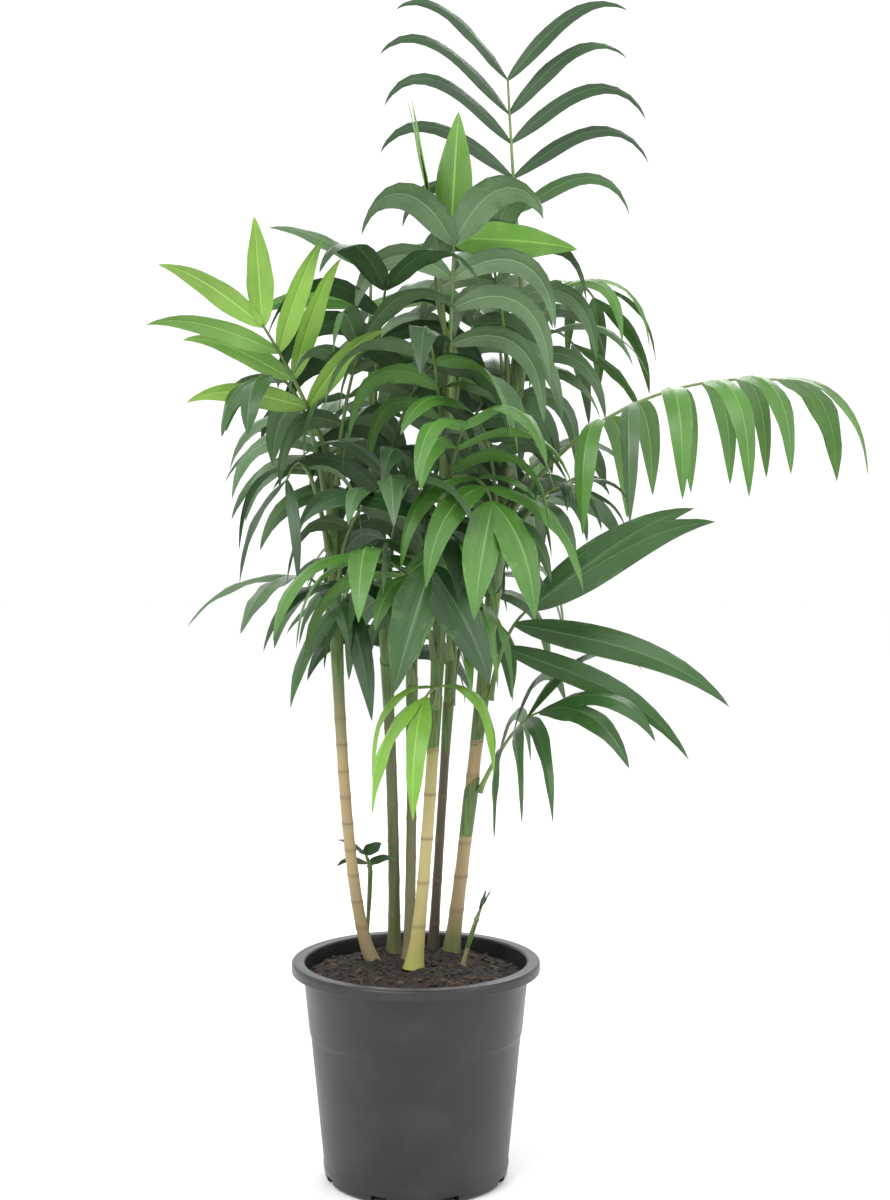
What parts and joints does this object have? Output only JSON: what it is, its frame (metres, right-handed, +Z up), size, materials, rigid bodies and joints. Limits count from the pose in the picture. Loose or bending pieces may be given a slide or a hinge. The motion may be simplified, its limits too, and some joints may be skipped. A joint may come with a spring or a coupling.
{
  "type": "potted bamboo palm",
  "caption": "Slender clumping palm with ringed canes and feathery arching fronds, rooted in potting mix in a plain black round nursery pot with a rolled lip.",
  "frame": {"origin": "centre of the pot's flat underside", "axes": "+Z up along the pot's axis; the plant is seen from -Y, with +X to the viewer's right"},
  "size_m": [0.5736, 0.481, 0.9833],
  "materials": {
    "pot_plastic": "smooth black moulded plastic with a soft sheen",
    "potting_mix": "dark crumbly potting mix",
    "cane_bark": "smooth tan to green stem with leaf scars",
    "leaf_fresh": "fresh green leaf with a soft sheen",
    "leaf_mid": "green leaf with a soft sheen",
    "leaf_deep": "dark green leaf with a soft sheen"
  },
  "bodies": {
    "root": {"cane_back": "cane_bark", "cane_centre": "cane_bark", "cane_left": "cane_bark", "cane_left_shoot": "cane_bark", "cane_mid_left": "cane_bark", "cane_middle": "cane_bark", "cane_right": "cane_bark", "cane_right_shoot": "cane_bark", "frond_back_1": "leaf_deep", "frond_back_2": "leaf_deep", "frond_back_3": "leaf_deep", "frond_back_4": "leaf_deep", "frond_centre_1": "leaf_mid", "frond_centre_2": "leaf_mid", "frond_centre_3": "leaf_mid", "frond_centre_4": "leaf_mid", "frond_centre_5": "leaf_mid", "frond_centre_6": "leaf_mid", "frond_centre_7": "leaf_mid", "frond_centre_broad": "leaf_deep", "frond_centre_front": "leaf_mid", "frond_centre_low": "leaf_fresh", "frond_centre_spear": "leaf_fresh", "frond_centre_young": "leaf_fresh", "frond_left_1": "leaf_mid", "frond_left_2": "leaf_mid", "frond_left_3": "leaf_mid", "frond_left_low": "leaf_mid", "frond_left_mid": "leaf_deep", "frond_left_sprout": "leaf_deep", "frond_left_thin": "leaf_deep", "frond_left_top": "leaf_fresh", "frond_mid_left_1": "leaf_deep", "frond_mid_left_2": "leaf_deep", "frond_mid_left_3": "leaf_deep", "frond_mid_left_4": "leaf_deep", "frond_mid_left_5": "leaf_deep", "frond_mid_left_6": "leaf_deep", "frond_mid_left_low": "leaf_deep", "frond_mid_left_top": "leaf_mid", "frond_middle_1": "leaf_deep", "frond_middle_2": "leaf_deep", "frond_middle_3": "leaf_deep", "frond_middle_4": "leaf_deep", "frond_right_1": "leaf_mid", "frond_right_2": "leaf_mid", "frond_right_3": "leaf_mid", "frond_right_4": "leaf_mid", "frond_right_5": "leaf_mid", "frond_right_arch": "leaf_mid", "frond_right_back": "leaf_mid", "frond_right_back_low": "leaf_mid", "frond_right_blade": "leaf_deep", "frond_right_low": "leaf_deep", "frond_right_short": "leaf_deep", "frond_right_sprout": "leaf_deep", "frond_right_top": "leaf_deep", "pot": "pot_plastic", "soil": "potting_mix"}
  },
  "joints": []
}
